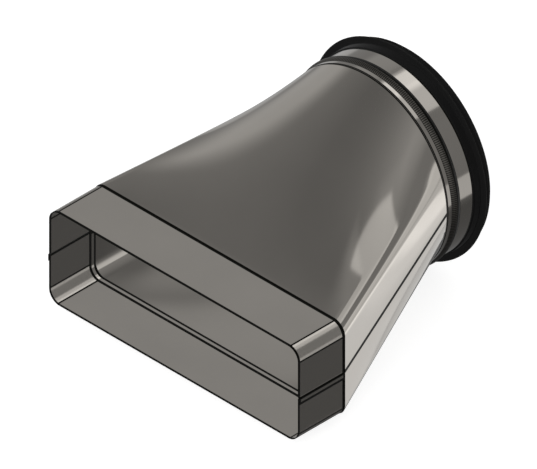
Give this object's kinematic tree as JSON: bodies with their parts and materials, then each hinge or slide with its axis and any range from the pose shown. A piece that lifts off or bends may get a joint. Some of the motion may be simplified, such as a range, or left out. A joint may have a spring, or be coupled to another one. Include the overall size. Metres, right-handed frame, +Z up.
{
  "type": "duct transition piece",
  "caption": "Sheet steel duct transition: a flat rectangular socket with lapped sides changes through pressed shells into a round spigot with a stop bead and a rubber lip seal.",
  "frame": {"origin": "centre of the rectangular socket's mouth, in the plane of its front edge", "axes": "+Y along the duct from the socket to the round spigot, +X across the socket, +Z up"},
  "size_m": [0.2498, 0.2335, 0.1736],
  "materials": {
    "sheet_steel": "bright rolled sheet, semi-gloss",
    "seal_rubber": "moulded, satin"
  },
  "bodies": {
    "root": {"upper_socket_half": "sheet_steel", "lower_socket_half": "sheet_steel", "upper_transition_shell": "sheet_steel", "lower_transition_shell": "sheet_steel", "round_spigot": "sheet_steel", "lip_seal": "seal_rubber"}
  },
  "joints": []
}
